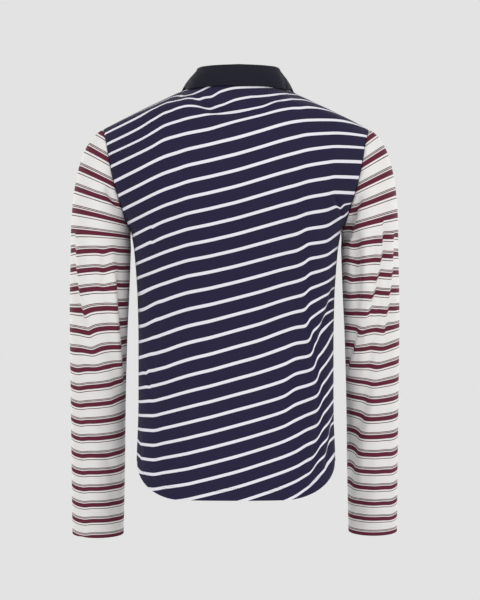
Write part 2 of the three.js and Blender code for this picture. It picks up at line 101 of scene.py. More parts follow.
def alongLine(places, length, values):  # values of a line's points at some lengths along it
    return np.stack([np.interp(places, length, column) for column in values.T], axis=1)


# the body's sizes; its panels run from the hem to the armpit and on to the shoulder

body = {
    "armpitZ": -0.235, "armholeTopZ": -0.065, "armholeMidY": -0.005,
    "armholeReach": {"back": 0.052, "front": -0.055},
    "squareness": 2.3,  # 2 is an ellipse
    "hemZ": -0.668, "hemRise": 0.057,
    "hemFlatLeft": 0.089, "hemCornerLeft": 0.075,
    "hemFlatRight": 0.076, "hemCornerRight": 0.088,
    "neckHalfWidth": 0.073, "neckPointY": -0.007, "neckPointZ": 0.007,
    "neckBackY": 0.058, "neckBackZ": 0.006, "neckFrontY": -0.078, "neckFrontZ": -0.074,
    "neckColumn": 0.36,  # the neck point's place across a row
    "neckSoftness": 0.12,  # how far beyond it the neckline gives way to the shoulder's roll
    "neckFrontBend": 1.25, "chestLean": 0.45, "edgeBend": 1.35,
    "lastRow": 0.88,  # above it the cloth rolls over the shoulder
    "shoulderTip": (0.219, -0.005, -0.065),
    "cloth": 0.0012, "hemFold": 0.0022, "hemHeight": 0.020, "edge": 0.0004,
    "seamDip": 0.0008, "seamWidth": 0.0022,
    "columns": {"back": 190, "front": 150}, "lowerRows": 128, "upperRows": 92,
    "closerAtSides": 1.2, "closerAtTop": 1.35,
    "slitHalfWidth": 0.0018, "slitEndZ": -0.222,
}

torso = curves(
    "z halfWidth back front",
    (-0.700, 0.1665, 0.106, -0.113), (-0.610, 0.164, 0.101, -0.110), (-0.511, 0.161, 0.095, -0.106),
    (-0.421, 0.161, 0.093, -0.106), (-0.346, 0.1625, 0.099, -0.111), (-0.300, 0.165, 0.105, -0.115),
    (-0.262, 0.1685, 0.110, -0.118), (-0.235, 0.173, 0.112, -0.119))
armhole = {
    "back": curves(
        "z x", (-0.235, 0.173), (-0.222, 0.1785), (-0.198, 0.186), (-0.157, 0.1985),
        (-0.115, 0.2075), (-0.091, 0.212), (-0.065, 0.219)),
    "front": curves(
        "z x", (-0.235, 0.173), (-0.215, 0.178), (-0.190, 0.183), (-0.155, 0.189),
        (-0.120, 0.197), (-0.089, 0.208), (-0.065, 0.219)),
}
# rows from the armpit (rise 0) to the shoulder (rise 1)
rising = {
    "back": curves(
        "rise z y turn neckRise",
        (0, -0.235, 0.112, 90, 0), (0.25, -0.188, 0.114, 69, 0), (0.5, -0.128, 0.109, 61, 0),
        (0.75, -0.062, 0.094, 53, 0.002), (0.9, -0.020, 0.075, 48, 0.007), (1, 0.006, 0.058, 45, 0.011)),
    "front": curves(
        "rise z y turn neckRise",
        (0, -0.235, -0.119, 90, 0), (0.25, -0.205, -0.119, 69, 0.004),
        (0.5, -0.166, -0.117, 61, 0.018), (0.75, -0.122, -0.107, 53, 0.044),
        (0.9, -0.091, -0.093, 48, 0.058), (1, -0.074, -0.078, 45, 0.066)),
}


def roundSin(angle):
    return np.sign(angle) * np.abs(np.sin(angle)) ** (2 / body["squareness"])


def roundCos(angle):
    return np.clip(np.cos(angle), 0, None) ** (2 / body["squareness"])


def hemHeight(x):
    flat = np.where(x > 0, body["hemFlatLeft"], body["hemFlatRight"])
    corner = np.where(x > 0, body["hemCornerLeft"], body["hemCornerRight"])
    out = np.clip((np.abs(x) - flat) / corner, 0, 1)
    return body["hemZ"] + body["hemRise"] * (1 - np.sqrt(1 - out * out))


def neckline(angle):  # degrees: 0 at the back of the neck, 90 at the neck point, 180 in front
    turned = np.cos(np.radians(angle))
    behind = np.clip(turned, 0, None)
    before = np.clip(-turned, 0, None)
    y = body["neckPointY"] + behind * (body["neckBackY"] - body["neckPointY"])
    y = y + before * (body["neckFrontY"] - body["neckPointY"])
    z = body["neckPointZ"] + behind ** 2 * (body["neckBackZ"] - body["neckPointZ"])
    z = z + before ** body["neckFrontBend"] * (body["neckFrontZ"] - body["neckPointZ"])
    return point(body["neckHalfWidth"] * np.sin(np.radians(angle)), y, z)


def topEdge(side, across):  # the neckline and shoulder seam
    reach = np.abs(across)
    neck = body["neckColumn"]
    turned = np.clip(reach / neck, 0, 1) * 90
    share = np.clip((reach - neck) / (1 - neck), 0, 1)[..., None]
    seam = mix(neckline(np.full_like(reach, 90.0)), np.array(body["shoulderTip"]), share)
    hollow = neckline(turned if side == "back" else 180 - turned)
    edge = np.where(reach[..., None] <= neck, hollow, seam)
    edge[..., 0] *= np.sign(across)
    return edge


def lowerPoint(side, across, down):  # down is 0 at the armpit and 1 at the hem
    angle = np.radians(across * 90)
    guess = torso["halfWidth"](mix(body["armpitZ"], body["hemZ"], down)) * roundSin(angle)
    z = mix(body["armpitZ"], hemHeight(guess), down)
    return point(
        torso["halfWidth"](z) * roundSin(angle),
        mix(body["armholeMidY"], torso[side](z), roundCos(angle)), z)


def rowPoint(side, across, rise):
    row = rising[side]
    turned = np.pi * rise
    edgeZ = mix(body["armpitZ"], body["armholeTopZ"], (1 - np.cos(turned)) / 2)
    edgeReach = body["armholeReach"][side]
    edgeY = body["armholeMidY"] + edgeReach * np.sin(turned)
    full = np.radians(row["turn"](rise))
    angle = across * full
    level = (roundCos(angle) - roundCos(full)) / (1 - roundCos(full))
    reach = np.abs(across)
    neck = body["neckColumn"]
    beside = np.where(reach < neck, reach / neck, (1 - reach) / (1 - neck))
    raised = row["neckRise"](rise) * smooth(beside)
    return point(
        armhole[side]["x"](edgeZ) * roundSin(angle) / roundSin(full),
        mix(edgeY, row["y"](rise), level) - np.sign(edgeReach) * body["chestLean"] * raised,
        mix(row["z"](rise), edgeZ, reach ** body["edgeBend"]) + raised)


def upperPoint(side, across, rise):  # rolls over the shoulder, and stops at the neckline
    last, step = body["lastRow"], 0.04
    plain = rowPoint(side, across, np.minimum(rise, last))
    below = rowPoint(side, across, np.full_like(rise, last))
    beforeIt = rowPoint(side, across, np.full_like(rise, last - step))
    share = np.clip((rise - last) / (1 - last), 0, 1)[..., None]
    over = ramp(np.abs(across), body["neckColumn"], body["neckSoftness"])[..., None]
    other = rowPoint("front" if side == "back" else "back", across, np.full_like(rise, last))
    top = topEdge(side, across)
    leaving = (below - beforeIt) * (1 - last) / step
    arriving = mix(top - below, (other - below) * 0.5, over)
    return np.where(share > 0, bend(below, top, leaving, arriving, share), plain)


def bodyPlace(side, across, rise):  # a point of the upper body and the direction out of the cloth
    step = 0.004
    place = upperPoint(side, across, rise)
    sideways = upperPoint(side, across + step, rise) - upperPoint(side, across - step, rise)
    upwards = upperPoint(side, across, np.minimum(rise + step, 1)) - upperPoint(side, across, rise - step)
    return place, unit(np.cross(sideways, upwards)) * (1 if side == "front" else -1)


def frontPlace(x, z):  # the place of the front at this height and distance from the middle
    across = np.zeros(np.shape(x))
    rise = np.full(np.shape(x), 0.5)
    width, height = 0.400, 0.250  # about one across and one rise of the front
    for _ in range(40):
        place = upperPoint("front", across, rise)
        across = across + (x - place[..., 0]) / width
        rise = np.clip(rise + (z - place[..., 2]) / height, 0.01, 1)
    return bodyPlace("front", across, rise)


# A crease is set in millimetres: its width, its depth, the line it follows, and a lip on one side.
# Stripes step by its shift within its turn, lean as far as its reach beyond it, or sag along it.

plainCrease = {"lip": 0, "shift": 0, "turn": 2, "reach": 30, "sag": 0, "sagWidth": 20}


def crease(width, depth, path, lean=0, fade=(0.25, 0.25), dragFade=None, **sizes):
    sizes = {**plainCrease, **sizes, "width": width, "depth": depth}
    metres = {name: size / 1000 for name, size in sizes.items()}
    return {**metres, "path": np.array(path) / 1000, "lean": lean, "fade": fade,
            "dragFade": dragFade or fade}


def smoothPath(corners, steps=10):  # a Catmull-Rom curve through a line's corners
    p = np.vstack([2 * corners[0] - corners[1], corners, 2 * corners[-1] - corners[-2]])
    t = np.linspace(0, 1, steps, endpoint=False)[:, None]
    spans = []
    for a, b, c, d in zip(p[:-3], p[1:-2], p[2:-1], p[3:]):
        spans.append(0.5 * (2 * b + (c - a) * t + (2 * a - 5 * b + 4 * c - d) * t ** 2
                            + (3 * b - a - 3 * c + d) * t ** 3))
    return np.vstack(spans + [p[-2][None]])


def nearPath(path, x, z):  # distance off the line (right of it is above zero) and share along it
    line = smoothPath(path)
    length = arcLength(line, 0)
    best = np.full(np.shape(x), 1e9)
    off = np.zeros(np.shape(x))
    along = np.zeros(np.shape(x))
    for i, (a, b) in enumerate(zip(line[:-1], line[1:])):
        step = b - a
        size = np.hypot(*step)
        share = np.clip(((x - a[0]) * step[0] + (z - a[1]) * step[1]) / size ** 2, 0, 1)
        dx = x - a[0] - share * step[0]
        dz = z - a[1] - share * step[1]
        gap = np.hypot(dx, dz)
        closer = gap < best
        off = np.where(closer, np.sign(dx * step[1] - dz * step[0]) * gap, off)
        along = np.where(closer, (length[i] + share * size) / length[-1], along)
        best = np.minimum(best, gap)
    return off, along


def fade(along, start, end):  # how strongly a fold shows along its line
    growing = smooth(along / start) if start > 0 else 1
    falling = smooth((1 - along) / end) if end > 0 else 1
    return growing * falling


def foldPush(folds, x, z):  # how far the folds push the cloth out
    push = np.zeros(np.shape(x))
    lipSwell = 1.65  # how fast a lip rises beside its line
    for fold in folds:
        off, along = nearPath(fold["path"], x, z)
        shape = np.exp(-(off / fold["width"]) ** 2)
        push += fade(along, *fold["fade"]) * shape * (
            fold["depth"] + fold["lip"] * lipSwell * off / fold["width"])
    return push


def stripeDrag(folds, x, z):  # how far the folds drag the stripes up
    drag = np.zeros(np.shape(x))
    for fold in folds:
        if not (fold["shift"] or fold["lean"] or fold["sag"]):
            continue
        off, along = nearPath(fold["path"], x, z)
        shown = fade(along, *fold["dragFade"])
        reach = fold["reach"]
        drag += shown * fold["shift"] * 0.5 * np.tanh(off / fold["turn"]) * np.exp(-np.abs(off) / reach)
        drag += shown * fold["lean"] * reach * (1 - np.exp(-np.clip(off, 0, None) / reach))
        drag -= shown * fold["sag"] * np.exp(-(off / fold["sagWidth"]) ** 2)
    return drag


# cloth sheets and what they share

def addObject(name, data):
    made = bpy.data.objects.new(name, data)
    bpy.context.scene.collection.objects.link(made)
    return made


def finishObject(name, sheet):
    mesh = bpy.data.meshes.new(name)
    sheet.to_mesh(mesh)
    sheet.free()
    return addObject(name, mesh)


def gridNormals(points, closed=False):
    up = np.gradient(points, axis=0)
    if closed:
        ring = points[:, :-1]
        side = np.roll(ring, -1, axis=1) - np.roll(ring, 1, axis=1)
        side = np.concatenate([side, side[:, :1]], axis=1)
    else:
        side = np.gradient(points, axis=1)
    return unit(np.cross(side, up))


def clothObject(name, points, cut, outward, closed=False, slit=False):
    rows, columns = points.shape[:2]
    sheet = bmesh.new()
    bmesh.ops.create_grid(sheet, x_segments=columns - 1, y_segments=rows - 1, size=1)
    flat = np.array([vertex.co[:2] for vertex in sheet.verts]).round(5)
    order = np.empty(len(flat), int)
    order[np.lexsort((flat[:, 0], flat[:, 1]))] = np.arange(len(flat))
    cutPlaced = cut.reshape(-1, 2)[order]
    cutLayer = sheet.loops.layers.uv.new("cut")
    for vertex, place in zip(sheet.verts, points.reshape(-1, 3)[order]):
        vertex.co = place
    sheet.verts.index_update()
    for face in sheet.faces:
        for loop in face.loops:
            loop[cutLayer].uv = cutPlaced[loop.vert.index]
        face.smooth = True
    if closed:
        bmesh.ops.remove_doubles(sheet, verts=sheet.verts, dist=1e-6)
    if slit:  # the opening under the placket
        centres = [(face, face.calc_center_median()) for face in sheet.faces]
        middle = [face for face, centre in centres
                  if abs(centre.x) < body["slitHalfWidth"] and centre.z > body["slitEndZ"]]
        bmesh.ops.delete(sheet, geom=middle, context="FACES")
    piece = finishObject(name, sheet)
    # outward(centre, normal) is above zero where a face points out
    if sum(outward(face.center, face.normal) for face in piece.data.polygons) < 0:
        piece.data.flip_normals()
    return piece


def addWall(piece, thickness):  # thickens the cloth inwards
    wall = piece.modifiers.new("wall", "SOLIDIFY")
    wall.thickness = thickness
    wall.offset = -1
    wall.use_even_offset = False
    wall.use_quality_normals = True
    return wall


def addRoundEdge(piece, width, segments=2, angle=60):
    rounded = piece.modifiers.new("edge", "BEVEL")
    rounded.width = width
    rounded.segments = segments
    rounded.profile = 0.5
    rounded.material = -1
    rounded.limit_method = "ANGLE"
    rounded.angle_limit = math.radians(angle)


def addHem(piece, isLow):  # one layer of cloth, and two where the hem is turned up
    hem = piece.vertex_groups.new(name="hem")
    hem.add([vertex.index for vertex in piece.data.vertices if isLow(vertex.co)], 1.0, "REPLACE")
    wall = addWall(piece, body["hemFold"])
    wall.vertex_group = "hem"
    wall.thickness_vertex_group = body["cloth"] / body["hemFold"]
    addRoundEdge(piece, body["edge"])


def dress(piece, finish, node=None):  # gives a piece its material and its place in the frame
    piece.data.materials.append(finish)
    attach(piece, "root")
    if node:
        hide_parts(node)


# stitches

sewing = {"length": 0.0024, "pitch": 0.0032, "thick": 0.00050, "fromEdge": 0.020, "twin": 0.0050}


def stitchAt(sheet, centre, direction, outward, length, thick):  # one raised stitch
    across = unit(np.cross(outward, direction))
    turned = Matrix((across * thick / 2, np.cross(direction, across) * thick / 2,
                     direction * length / 2)).transposed().to_4x4()
    turned.translation = centre
    bmesh.ops.create_uvsphere(sheet, u_segments=6, v_segments=4, radius=1, matrix=turned)


def sewAlong(sheet, line, outward):  # stitches one after another along a line
    length = arcLength(line, 0)
    count = int(length[-1] / sewing["pitch"])
    middle = (np.arange(count) + 0.5) * length[-1] / count
    reach = sewing["length"] / 2
    centres = alongLine(middle, length, line)
    ways = unit(alongLine(middle + reach, length, line) - alongLine(middle - reach, length, line))
    normals = unit(alongLine(middle, length, outward))
    for first in range(0, count, 20):  # a few at a time, which is much quicker
        few = bmesh.new()
        for i in range(first, min(first + 20, count)):
            stitchAt(few, centres[i], ways[i], normals[i], sewing["length"], sewing["thick"])
        joined = bpy.data.meshes.new("few")
        few.to_mesh(joined)
        few.free()
        sheet.from_mesh(joined)
        bpy.data.meshes.remove(joined)


def rowAt(panel, height, values):  # a panel's values along a line at one distance up from its edge
    columns = range(values.shape[1])
    return np.concatenate([
        alongLine([height], panel["up"][:, column], values[:, column]) for column in columns])


def sewHem(name, panels, finish):  # a twin row of stitches round a turned hem
    sheet = bmesh.new()
    for panel in panels:
        for height in (sewing["fromEdge"], sewing["fromEdge"] - sewing["twin"]):
            line, outward = (rowAt(panel, height, panel[part])[2:-2] for part in ("points", "normals"))
            sewAlong(sheet, line, outward)
    threadPiece(name, sheet, finish)


def threadPiece(name, sheet, finish):
    for face in sheet.faces:
        face.smooth = True
    dress(finishObject(name, sheet), finish)


# node sums written as plain arithmetic

class Wire:
    def __init__(self, tree, socket=None):
        self.tree = tree
        self.socket = socket

    def node(self, kind, values={}, output=0, **settings):  # a new node, and a wire from its output
        made = self.tree.nodes.new("ShaderNode" + kind)
        for name, setting in settings.items():
            setattr(made, name, setting)
        for name, value in values.items():
            if isinstance(value, Wire):
                self.tree.links.new(value.socket, made.inputs[name])
            else:
                made.inputs[name].default_value = value
        return Wire(self.tree, made.outputs[output] if made.outputs else None)

    def math(self, operation, *others):
        return self.node("Math", dict(enumerate((self, *others))), operation=operation)

    def held(self):  # between 0 and 1
        return self.math("MAXIMUM", 0).math("MINIMUM", 1)

    def __add__(self, other):
        return self.math("ADD", other)

    __radd__ = __add__

    def __sub__(self, other):
        return self.math("SUBTRACT", other)

    def __rsub__(self, other):
        return self.node("Math", {0: other, 1: self}, operation="SUBTRACT")

    def __mul__(self, other):
        return self.math("MULTIPLY", other)

    def __truediv__(self, other):
        return self.math("DIVIDE", other)


def newFinish(name):  # a material, and a wire that starts its nodes
    material = bpy.data.materials.new(name)
    material.use_nodes = True
    material.node_tree.nodes.clear()
    return material, Wire(material.node_tree)


def cutPlace(start):  # distances across and along the flat cloth
    place = start.node("UVMap", uv_map="cut")
    return (*[start.node("SeparateXYZ", {0: place}, output=axis) for axis in (0, 1)], place)


def objectPlace(start):
    return start.node("TexCoord", output="Object")


def blend(start, share, first, second):
    colours = {6: first, 7: second}
    values = {index: colour if isinstance(colour, Wire) else (*colour, 1)
              for index, colour in colours.items()}
    return start.node("Mix", {0: share, **values}, output=2, data_type="RGBA")


def shades(start, share, colour, low, high):  # a colour that wanders a little darker and lighter
    return blend(start, share, *[tuple(part * c for c in colour) for part in (low, high)])


def band(value, centre, width, soft):  # 1 on a band of a value that repeats from 0 to 1
    off = (value - (centre + 0.5)).math("FRACT") - 0.5
    return ((width / 2 - off.math("ABSOLUTE")) / soft + 0.5).held()


def noise(start, place, scale, detail=2):
    return start.node("TexNoise", {"Vector": place, "Scale": scale, "Detail": detail, "Roughness": 0.5})


def wave(place, length, kind="SINE"):
    return ((place / length) * (2 * math.pi)).math(kind)


def shade(start, values):
    start.node("OutputMaterial", {"Surface": start.node("BsdfPrincipled", values)})


def shadeCloth(start, size, colour, yarn, height):
    relief = {"Strength": size["bump"], "Distance": size["relief"], "Height": height}
    shade(start, {
        "Base Color": colour, "Roughness": size["rough"] + (yarn - 0.5) * size["uneven"],
        "Specular IOR Level": 0.2, "Sheen Weight": size["sheen"], "Sheen Roughness": 0.5,
        "Normal": start.node("Bump", relief),
    })


# the cloths: colours, and the sizes of stripes, bands and knit

bodyCloth = {
    "navy": (0.0157, 0.0127, 0.0425), "white": (0.81, 0.795, 0.86),
    "repeat": 0.0247, "stripe": 0.0050, "wale": 0.0011, "course": 0.0009,
    "skew": 0.25,  # how far the knit's columns lean for each length up the shirt
    "clouds": 14, "cloudy": 0.25, "rough": 0.86, "uneven": 0.12, "sheen": 0.06,
    "bump": 0.25, "relief": 0.0003,
}
sleeveCloth = {
    "cream": (0.805, 0.790, 0.768), "burgundy": (0.116, 0.0148, 0.034), "line": (0.075, 0.014, 0.026),
    "repeat": 0.0328, "band": 0.0082, "fine": 0.00135,
    "linePlaces": (0.0064, 0.0085, -0.0077),  # centres of the fine lines above the band
    "wale": 0.0011, "course": 0.0009,
    "clouds": 16, "cloudy": 0.3, "rough": 0.88, "uneven": 0.1, "sheen": 0.05,
    "bump": 0.25, "relief": 0.0003,
}
# the collar's rib knit: its colour runs from dark to light, painted shade in the grooves between ribs and
# painted light on the raised ribs
ribCloth = {
    "dark": (0.0082, 0.0078, 0.0158), "light": (0.0137, 0.0132, 0.0250), "rib": 0.0022, "course": 0.0011,
    "rough": 0.88, "uneven": 0.1, "sheen": 0.04, "bump": 0.45, "relief": 0.0006,
}


def bodyColour(start, count, tone):
    size = bodyCloth
    white = band(count, 0, size["stripe"] / size["repeat"], 0.012)
    navy = shades(start, tone, size["navy"], 0.80, 1.20)
    return blend(start, white, navy, shades(start, tone, size["white"], 0.95, 1.03))


def sleeveColour(start, count, tone):
    size = sleeveCloth
    pale = shades(start, tone, size["cream"], 0.96, 1.03)
    red = shades(start, tone, size["burgundy"], 0.85, 1.15)
    colour = blend(start, band(count, 0, size["band"] / size["repeat"], 0.012), pale, red)
    for centre in size["linePlaces"]:
        fine = band(count, centre / size["repeat"], size["fine"] / size["repeat"], 0.008)
        colour = blend(start, fine, colour, size["line"])
    return colour


def knitFinish(name, size, colourAt):  # a plain knit face, with columns of small v's
    material, start = newFinish(name)
    across, along, place = cutPlace(start)
    wobble = noise(start, place, 900, 1) - 0.5
    count = (along + wobble * 0.0002) / size["repeat"]
    yarn = noise(start, place, 1400)
    clouds = noise(start, place, size["clouds"], 3)
    tone = (yarn - 0.5) * 0.5 + (clouds - 0.5) * size["cloudy"] + 0.5
    slant = ((across / size["wale"]).math("FRACT") - 0.5).math("ABSOLUTE") * 1.1
    loops = ((along / size["course"] + slant) * (2 * math.pi)).math("SINE")
    height = loops * 0.5 - wave(across, size["wale"], "COSINE") * 0.5 + yarn * 0.6
    shadeCloth(start, size, colourAt(start, count, tone), yarn, height)
    return material


def ribFinish():
    material, start = newFinish("collarRib")
    across, along, place = cutPlace(start)
    ribs = wave(across, ribCloth["rib"])
    yarn = noise(start, place, 1200)
    # painted shade and light: the tone rises and falls with the same rib wave as the bump's height,
    # darker in the grooves and lighter on the ribs
    tone = ribs * 0.28 + (yarn - 0.5) * 0.5 + 0.5
    height = ribs * 0.6 + wave(along, ribCloth["course"]) * 0.25 + yarn * 0.4
    shadeCloth(start, ribCloth, blend(start, tone, ribCloth["dark"], ribCloth["light"]), yarn, height)
    return material


def threadFinish(name, colour):
    material, start = newFinish(name)
    twist = noise(start, objectPlace(start), 2600, 1)
    colour = shades(start, twist, colour, 0.8, 1.25)
    shade(start, {"Base Color": colour, "Roughness": 0.6, "Specular IOR Level": 0.3})
    return material


def buttonFinish():
    material, start = newFinish("buttonResin")
    cloud = noise(start, objectPlace(start), 420, 3)
    colour = blend(start, cloud, (0.011, 0.010, 0.017), (0.026, 0.025, 0.038))
    shade(start, {"Base Color": colour, "Roughness": 0.28 + cloud * 0.12, "Coat Weight": 0.3})
    return material


cloths = {
    "body": knitFinish("bodyCloth", bodyCloth, bodyColour),
    "sleeve": knitFinish("sleeveCloth", sleeveCloth, sleeveColour),
    "rib": ribFinish(),
}
threads = {
    "navy": threadFinish("navyThread", (0.022, 0.019, 0.050)),
    "cream": threadFinish("creamThread", (0.70, 0.70, 0.68)),
    "dark": threadFinish("darkThread", (0.016, 0.015, 0.026)),
}
resin = buttonFinish()
print("cloths ready")


# back and front

backFolds = [
    # the long drag up the wearer's right side, soft at first, with two short folds beyond it
    crease(12, -1.8, [(-106, -205), (-108.7, -233), (-113.5, -257), (-115.1, -279), (-116.8, -306),
        (-116.8, -332), (-116, -358), (-117.6, -381)], lip=1, fade=(0.3, 0.3), shift=6.8, reach=50,
        turn=5, dragFade=(0.6, 0.3)),
    crease(9, -2.6, [(-116.8, -306), (-116.2, -350), (-118.2, -381), (-122.2, -400), (-125, -415),
        (-128.2, -433.5), (-132.2, -456), (-136.8, -478.5), (-139.6, -502.7), (-139.5, -525),
        (-139.5, -548), (-137, -572), (-133, -594), (-126.5, -617), (-120, -636), (-113, -660)], lip=2,
        fade=(0.25, 0.2), shift=15, lean=0.78, turn=4.2, dragFade=(0.34, 0.15)),
    crease(6, -2.6, [(-164, -304), (-158, -325), (-152.5, -346.5), (-147.8, -362), (-141.8, -379),
        (-136.2, -396), (-131, -415), (-126, -431)], lip=-2.2, fade=(0.3, 0.3), lean=8, reach=1.4,
        dragFade=(0.6, 0.4)),
    crease(6, -2.4, [(-161, -526), (-156.3, -547), (-154.2, -563), (-149.6, -589), (-147, -605),
        (-144, -628)], lip=-2, fade=(0.3, 0.2), lean=9, reach=1.4, dragFade=(0.15, 0.5)),
    # soft creases down the wearer's left side
    crease(10, -2, [(108, -290), (121, -346), (136, -433), (139, -490), (141, -555)],
        lip=-0.8, shift=-1.2, reach=12, turn=4),
    crease(14, -1.2, [(158, -320), (152, -365), (150, -425)], sag=3.4, sagWidth=18),
    crease(4, -1.2, [(151, -445), (149, -459), (143, -485), (142, -508)], sag=1.3, sagWidth=3),
    crease(4, -1, [(153.5, -632), (154.8, -620), (156.6, -598), (158.2, -575), (159, -555)],
        lean=1.5, reach=6, dragFade=(0.2, 0.2)),
    crease(6, -1, [(136, -222), (138, -262)], shift=-3, reach=10),
    # under the collar
    crease(7, -4, [(74, -12), (60, -20), (49, -30), (30, -40), (-5, -43), (-34, -36)],
        lip=2.2, fade=(0.2, 0.3)),
    crease(8, -1.6, [(-20, -12), (-60, -14), (-98, -30)], lip=1),
    # beside the wearer's right armpit
    crease(4.5, -3.4, [(-158, -176), (-166, -188), (-171.5, -198), (-176, -214)],
        lip=1.2, sag=5.6, sagWidth=4),
    # broad hollows and swells of the back
    crease(35, 2, [(60, -100), (66, -200), (52, -300)]),
    crease(35, 2, [(-60, -100), (-66, -200), (-52, -300)]),
    crease(30, -2.5, [(0, -160), (0, -300), (-4, -440)]),
    crease(22, 1.8, [(35, -400), (70, -500), (80, -620)]),
    crease(22, -1.6, [(-35, -420), (-68, -520), (-74, -640)]),
]
frontFolds = [
    crease(10, -3, [(118, -300), (126, -400), (131, -500), (120, -610)],
        lip=-1.4, shift=-6, reach=20, turn=3),
    crease(10, -2.8, [(-110, -320), (-121, -420), (-127, -520), (-112, -630)],
        lip=1.4, shift=6, reach=20, turn=3),
    crease(10, -3, [(150, -205), (120, -235), (80, -250)]),
    crease(10, -2.6, [(-152, -200), (-118, -232), (-76, -252)]),
    crease(9, -2.2, [(156, -235), (128, -275), (98, -296)]),
    crease(9, -2, [(-158, -232), (-132, -270), (-104, -290)]),
    crease(36, 2.2, [(62, -150), (66, -210), (50, -280)]),
    crease(36, 2.2, [(-62, -150), (-66, -210), (-50, -280)]),
    crease(24, -1.8, [(20, -260), (30, -360), (45, -470)]),
    crease(22, 1.8, [(-50, -400), (-62, -500), (-60, -620)]),
    crease(20, -1.6, [(70, -450), (78, -550), (74, -650)]),
]

# stripes: how many lie above a height on the middle of the back, and how many millimetres each
# one has risen or dropped by a place across it, for stripes at several heights down the shirt
countAt = curves(
    "z count",
    (-0.700, 28.2), (-0.671, 27), (-0.5975, 24), (-0.4732, 19), (-0.3436, 14), (-0.0868, 4),
    (-0.0594, 3), (-0.0421, 2), (-0.0232, 1), (-0.0028, 0), (0.0155, -1), (0.034, -2))["count"]
stripePlaces = [-0.240, -0.162, -0.146, -0.116, -0.097, -0.077, -0.039, 0.0,
                0.024, 0.042, 0.060, 0.077, 0.094, 0.115, 0.136, 0.157, 0.240]
stripeRises = {
    -0.62: [90, 70, 60, 46.2, 34, 25, 12, 0, -6.3, -11, -15.5, -19.8, -23, -26.6, -30.6, -29.3, -36],
    -0.52: [110, 74, 59, 42.5, 35.5, 22.5, 10.5, 0, -6.6, -11.5, -16, -20.5, -24.8, -30, -35, -35, -45],
    -0.42: [120, 66, 54.5, 38, 33.5, 26.2, 11.3, 0,
            -6.9, -12, -16.3, -20.8, -26.2, -33.8, -39, -45.8, -68],
    -0.29: [115, 50.5, 40, 34, 26.5, 21.5, 10.8, 0,
            -5.4, -9.3, -12.6, -15.7, -20.5, -27.2, -34.5, -41.2, -70],
    -0.262: [100, 48.7, 40, 34.1, 27, 21.8, 10.9, 0,
             -5.5, -9.5, -12.9, -16.2, -21.1, -27.8, -35.4, -42.6, -72.4],
    -0.225: [43, 43.8, 40.2, 34.2, 27.7, 22.3, 11.1, 0,
             -5.7, -9.8, -13.4, -16.9, -21.9, -28.6, -36.6, -44.5, -75.5],
    -0.15: [44, 42, 40, 34.4, 29, 23.2, 11.5, 0, -6, -10.4, -14.3, -18.2, -23.6, -30.3, -39, -48.4, -82],
    -0.0868: [20, 33, 33, 32.2, 28.5, 23.5, 11.5, 0,
              -5.8, -10.2, -14.2, -18, -23.3, -29.8, -38.8, -49, -85],
    -0.0594: [10, 17, 19, 22.8, 23.5, 20.4, 10.1, 0,
              -7.3, -12.8, -16.3, -19.4, -23.5, -29.4, -40.8, -50.6, -85],
    -0.0421: [6, 10, 13, 18.4, 22, 20.8, 6.3, 0, -2, -4.3, -7.8, -11.4, -16.5, -23.5, -35.2, -46.3, -80],
    -0.0232: [6, 12, 13.5, 16, 14.8, 12.4, 7.6, 0,
              -10, -13.2, -10.6, -9.3, -12.8, -26.2, -37.5, -47.5, -80],
    -0.0028: [2, 4, 4.5, 5, 4.5, 4, 2, 0, -5.9, -15.7, -16.7, -16.5, -20.5, -31.8, -44, -55, -80],
    0.0155: [0, 0, 0, 0, 0, 0, 0, 0, -5, -14, -23.5, -30.5, -34, -38, -44, -52, -80],
}
stripeLevels = list(stripeRises)
riseAt = [curveThrough(np.array(stripePlaces), np.array(row) / 1000) for row in stripeRises.values()]

stripeRun = {
    "turnShare": 0.62,  # from this share of the upper rows on, the cloth rolls over the shoulder
    "over": 0.0256,  # one repeat of the stripes up a column there
    "overFrom": 0.30, "overWithin": 0.15,  # not in the middle of a row, below the neck
    # closer together on the left shoulder
    "closer": 0.09, "closerFrom": 0.09, "closerWithin": 0.04,
    # the front's run straighter to the left shoulder
    "lift": 0.22, "liftX": 0.08, "liftZ": -0.22, "liftWithin": 0.12,
}


def stripeCount(x, z, drag):  # the count of stripes down to a place on the cloth
    rises = np.stack([curve(x) for curve in riseAt])
    middle = z - drag
    for _ in range(6):
        share = np.interp(middle, stripeLevels, range(len(stripeLevels)))
        below = np.clip(np.floor(share).astype(int), 0, len(stripeLevels) - 2)
        part = mix(smooth(share - below), share - below, 0.65)
        low, high = (np.take_along_axis(rises, level[None], 0)[0] for level in (below, below + 1))
        middle = z - drag - mix(low, high, part)
    return countAt(middle)


def panelPoints(side, columns):  # closer together towards the side seams and armholes
    even = np.linspace(-1, 1, columns + 1)
    across = np.sign(even) * (1 - (1 - np.abs(even)) ** body["closerAtSides"])
    lower = np.linspace(1, 0, body["lowerRows"], endpoint=False)
    upper = 1 - (1 - np.linspace(0, 1, body["upperRows"] + 1)) ** body["closerAtTop"]
    downGrid, lowerAcross = np.meshgrid(lower, across, indexing="ij")
    riseGrid, upperAcross = np.meshgrid(upper, across, indexing="ij")
    points = np.concatenate([
        lowerPoint(side, lowerAcross, downGrid), upperPoint(side, upperAcross, riseGrid)])
    return points, across


def seamDip(fromSeam):  # cloth sinks a little where it is sewn
    return body["seamDip"] * np.exp(-(fromSeam / body["seamWidth"]) ** 2)


def overTheShoulder(count, along, across, x):  # stripes follow the cloth where it rolls over
    first = body["lowerRows"] + int(body["upperRows"] * stripeRun["turnShare"])
    closer = stripeRun["closer"] * ramp(x, stripeRun["closerFrom"], stripeRun["closerWithin"])
    apart = stripeRun["over"] * (1 - closer)
    over = count[first] - (along - along[first]) / apart
    outside = ramp(np.abs(across), stripeRun["overFrom"], stripeRun["overWithin"])[None]
    count[first:] = mix(count, over, outside)[first:]
    return count


